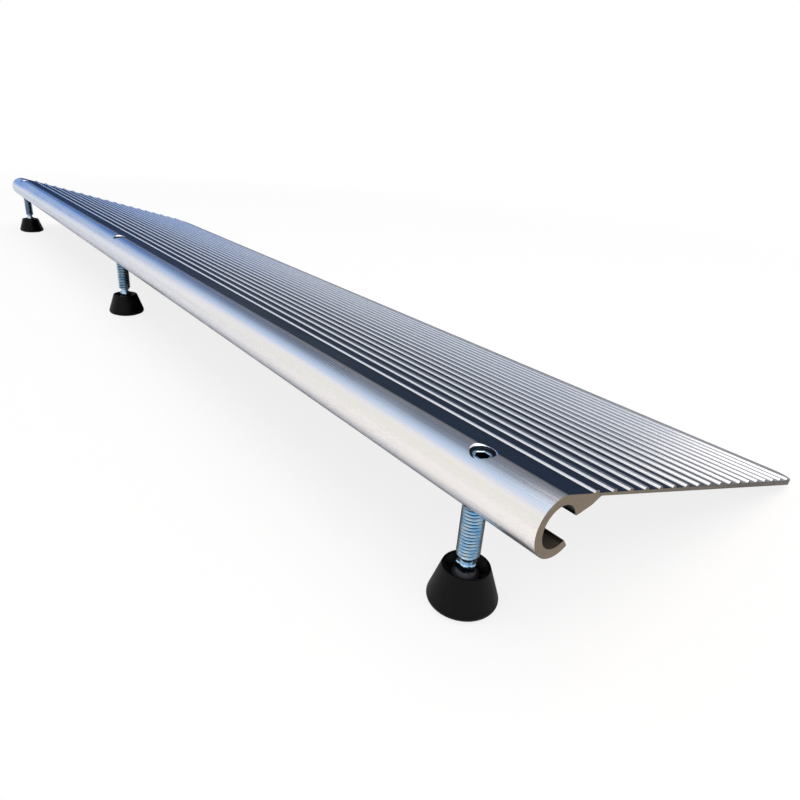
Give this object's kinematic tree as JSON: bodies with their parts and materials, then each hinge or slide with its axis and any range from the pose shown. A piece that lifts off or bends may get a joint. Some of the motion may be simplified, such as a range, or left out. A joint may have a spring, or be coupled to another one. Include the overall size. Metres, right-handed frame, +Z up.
{
  "type": "threshold ramp",
  "caption": "Ribbed aluminium threshold ramp with a hollow C-shaped nose, carried on screw-adjusted swivel feet, its thin toe on the floor.",
  "frame": {"origin": "on the floor, under the middle of the part's box", "axes": "+X along the doorway, +Y from the nose to the toe, +Z up"},
  "size_m": [1, 0.2572, 0.0705],
  "materials": {
    "anodised_aluminium": "extruded, satin anodised",
    "zinc_plated_steel": "rolled thread, bright zinc with a blue passivate",
    "acetal": "moulded, satin",
    "black_nylon": "moulded, satin",
    "rubber": "moulded, matt"
  },
  "bodies": {
    "ramp": {"ramp_profile": "anodised_aluminium"},
    "ball_right": {"swivel_ball_right": "acetal"},
    "spindle_right": {"spindle_right": "zinc_plated_steel"},
    "foot_right": {"foot_base_right": "black_nylon", "foot_sole_right": "rubber"},
    "ball_centre": {"swivel_ball_centre": "acetal"},
    "spindle_centre": {"spindle_centre": "zinc_plated_steel"},
    "foot_centre": {"foot_base_centre": "black_nylon", "foot_sole_centre": "rubber"},
    "ball_left": {"swivel_ball_left": "acetal"},
    "spindle_left": {"spindle_left": "zinc_plated_steel"},
    "foot_left": {"foot_base_left": "black_nylon", "foot_sole_left": "rubber"}
  },
  "joints": [
    {"name": "leg_right_height", "type": "slide", "parent": "ramp", "child": "ball_right", "axis": [0, 0, 1], "range_m": [-0.015, 0.00075]},
    {"name": "leg_right_screw", "type": "hinge", "parent": "ball_right", "child": "spindle_right", "pos_m": [0.4625, -0.11361, 0.045], "axis": [0, 0, 1], "range_deg": [-3605, 185]},
    {"name": "foot_right_tilt", "type": "hinge", "parent": "ball_right", "child": "foot_right", "pos_m": [0.4625, -0.11361, 0.0115], "axis": [1, 0, 0], "range_deg": [-12, 12]},
    {"name": "leg_centre_height", "type": "slide", "parent": "ramp", "child": "ball_centre", "axis": [0, 0, 1], "range_m": [-0.015, 0.00075]},
    {"name": "leg_centre_screw", "type": "hinge", "parent": "ball_centre", "child": "spindle_centre", "pos_m": [0, -0.11361, 0.045], "axis": [0, 0, 1], "range_deg": [-3605, 185]},
    {"name": "foot_centre_tilt", "type": "hinge", "parent": "ball_centre", "child": "foot_centre", "pos_m": [0, -0.11361, 0.0115], "axis": [1, 0, 0], "range_deg": [-12, 12]},
    {"name": "leg_left_height", "type": "slide", "parent": "ramp", "child": "ball_left", "axis": [0, 0, 1], "range_m": [-0.015, 0.00075]},
    {"name": "leg_left_screw", "type": "hinge", "parent": "ball_left", "child": "spindle_left", "pos_m": [-0.4625, -0.11361, 0.045], "axis": [0, 0, 1], "range_deg": [-3605, 185]},
    {"name": "foot_left_tilt", "type": "hinge", "parent": "ball_left", "child": "foot_left", "pos_m": [-0.4625, -0.11361, 0.0115], "axis": [1, 0, 0], "range_deg": [-12, 12]}
  ],
  "couplings": [
    {"joint": "leg_right_screw", "follows": "leg_right_height", "rad_per_m": 4188.8},
    {"joint": "leg_centre_screw", "follows": "leg_centre_height", "rad_per_m": 4188.8},
    {"joint": "leg_left_screw", "follows": "leg_left_height", "rad_per_m": 4188.8}
  ]
}
